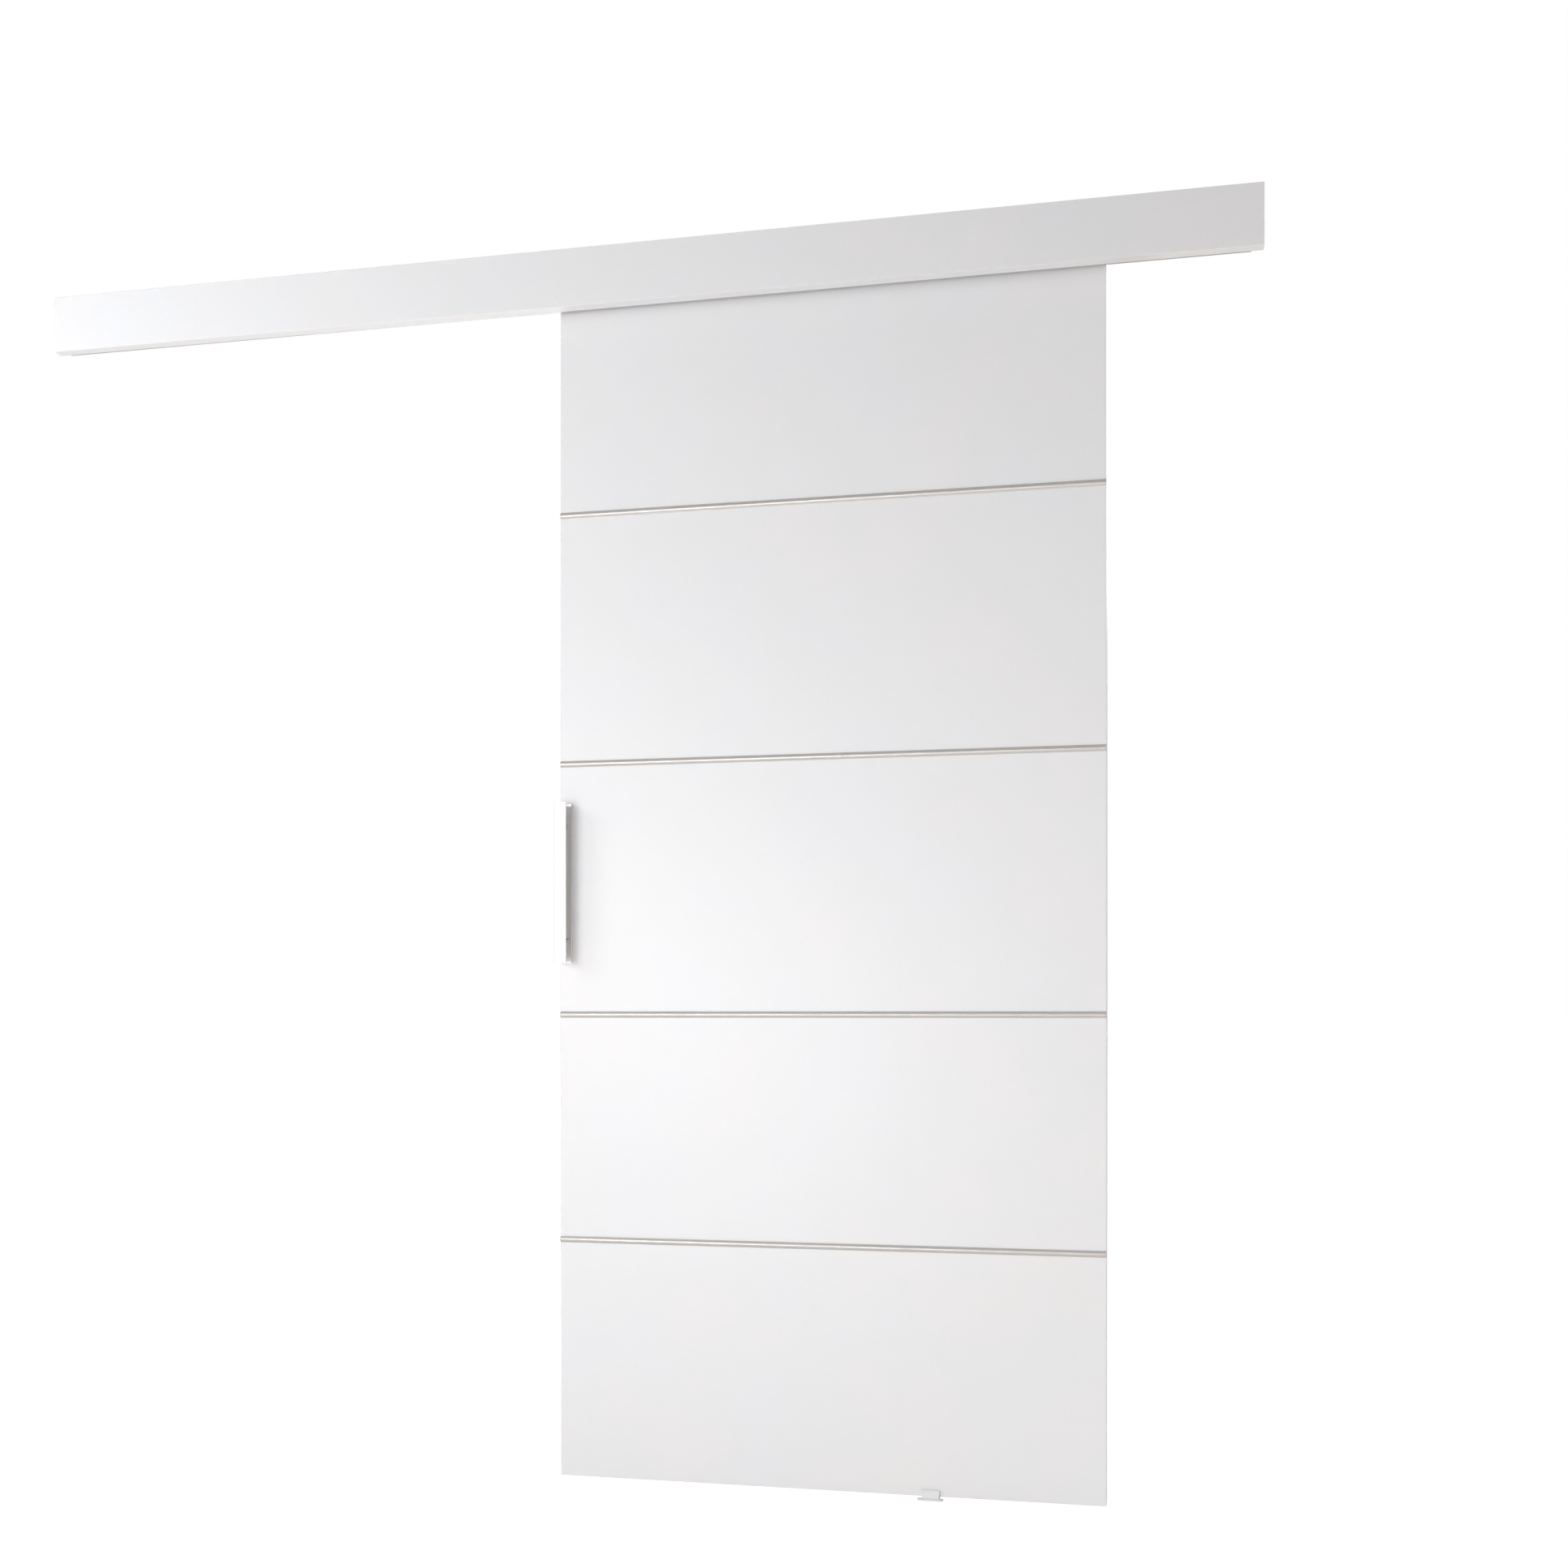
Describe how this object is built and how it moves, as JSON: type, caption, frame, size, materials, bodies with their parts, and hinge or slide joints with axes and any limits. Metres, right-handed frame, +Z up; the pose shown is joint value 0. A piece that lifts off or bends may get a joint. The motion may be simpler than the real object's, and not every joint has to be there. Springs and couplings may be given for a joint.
{
  "type": "sliding barn door hardware",
  "caption": "White sliding door leaf with inlaid metal strips, hung by roller trolleys from a wall track behind a fascia board, with a channel pull handle and a floor guide.",
  "frame": {"origin": "on the back face of the wall profile, at the middle of its length and at the height of the wall screws, which is 2.163 m above the finished floor", "axes": "+X along the track to the right as seen from the room, +Y out of the back of the profile into the wall, +Z up"},
  "size_m": [2.2, 0.1367, 2.1947],
  "materials": {
    "white_laminate": "white melamine laminate, fine orange-peel, satin",
    "white_edging": "white edge banding, satin",
    "pine_frame": "planed softwood",
    "fibreboard_core": "raw hardboard slats",
    "anodised_aluminium": "satin anodised, drawn along its length",
    "handle_aluminium": "bright satin anodised",
    "mill_aluminium": "mill finish extrusion",
    "zinc_casting": "bright zinc plated",
    "zinc_plated_steel": "zinc plated",
    "white_nylon": "moulded nylon",
    "black_rubber": "moulded, matt",
    "white_plastic": "moulded, satin"
  },
  "bodies": {
    "track": {"wall_profile": "mill_aluminium", "running_rail": "anodised_aluminium", "fascia_board": "white_laminate", "wall_screw_1": "zinc_plated_steel", "wall_screw_2": "zinc_plated_steel", "wall_screw_3": "zinc_plated_steel", "wall_screw_4": "zinc_plated_steel", "rail_screw_1": "zinc_plated_steel", "rail_screw_2": "zinc_plated_steel", "fascia_screw_1": "zinc_plated_steel", "fascia_screw_2": "zinc_plated_steel", "fascia_screw_3": "zinc_plated_steel", "stop_block_left": "zinc_casting", "stop_buffer_left": "black_rubber", "stop_screw_left": "zinc_plated_steel", "stop_block_right": "zinc_casting", "stop_buffer_right": "black_rubber", "stop_screw_right": "zinc_plated_steel", "floor_guide": "white_plastic", "guide_screw": "zinc_plated_steel"},
    "leaf": {"leaf_front_skin": "white_laminate", "leaf_rear_skin": "white_laminate", "leaf_left_stile": "pine_frame", "leaf_right_stile": "pine_frame", "leaf_top_rail": "pine_frame", "leaf_bottom_rail": "pine_frame", "leaf_core_grid": "fibreboard_core", "leaf_left_edging": "white_edging", "leaf_right_edging": "white_edging", "leaf_strip_1": "anodised_aluminium", "leaf_strip_2": "anodised_aluminium", "leaf_strip_3": "anodised_aluminium", "leaf_strip_4": "anodised_aluminium", "pull_handle": "handle_aluminium", "handle_screw_1": "zinc_plated_steel", "handle_screw_2": "zinc_plated_steel", "hanger_plate_left": "zinc_casting", "hanger_bolt_left": "zinc_plated_steel", "lock_nut_left": "zinc_plated_steel", "trolley_body_left": "zinc_casting", "hanger_plate_right": "zinc_casting", "hanger_bolt_right": "zinc_plated_steel", "lock_nut_right": "zinc_plated_steel", "trolley_body_right": "zinc_casting", "plate_screw_1": "zinc_plated_steel", "plate_screw_2": "zinc_plated_steel", "plate_screw_3": "zinc_plated_steel", "plate_screw_4": "zinc_plated_steel"},
    "wheelset_1": {"axle_1": "zinc_plated_steel", "wheel_1_front": "white_nylon", "wheel_1_rear": "white_nylon"},
    "wheelset_2": {"axle_2": "zinc_plated_steel", "wheel_2_front": "white_nylon", "wheel_2_rear": "white_nylon"},
    "wheelset_3": {"axle_3": "zinc_plated_steel", "wheel_3_front": "white_nylon", "wheel_3_rear": "white_nylon"},
    "wheelset_4": {"axle_4": "zinc_plated_steel", "wheel_4_front": "white_nylon", "wheel_4_rear": "white_nylon"}
  },
  "joints": [
    {"name": "leaf_slide", "type": "slide", "parent": "track", "child": "leaf", "axis": [1, 0, 0], "range_m": [-0.96, 0.226]},
    {"name": "wheelset_1_turn", "type": "hinge", "parent": "leaf", "child": "wheelset_1", "pos_m": [-0.028, -0.032, -0.031], "axis": [0, 1, 0], "continuous": true},
    {"name": "wheelset_2_turn", "type": "hinge", "parent": "leaf", "child": "wheelset_2", "pos_m": [0.022, -0.032, -0.031], "axis": [0, 1, 0], "continuous": true},
    {"name": "wheelset_3_turn", "type": "hinge", "parent": "leaf", "child": "wheelset_3", "pos_m": [0.712, -0.032, -0.031], "axis": [0, 1, 0], "continuous": true},
    {"name": "wheelset_4_turn", "type": "hinge", "parent": "leaf", "child": "wheelset_4", "pos_m": [0.762, -0.032, -0.031], "axis": [0, 1, 0], "continuous": true}
  ],
  "couplings": [
    {"joint": "wheelset_1_turn", "follows": "leaf_slide", "rad_per_m": 90.909},
    {"joint": "wheelset_2_turn", "follows": "leaf_slide", "rad_per_m": 90.909},
    {"joint": "wheelset_3_turn", "follows": "leaf_slide", "rad_per_m": 90.909},
    {"joint": "wheelset_4_turn", "follows": "leaf_slide", "rad_per_m": 90.909}
  ]
}
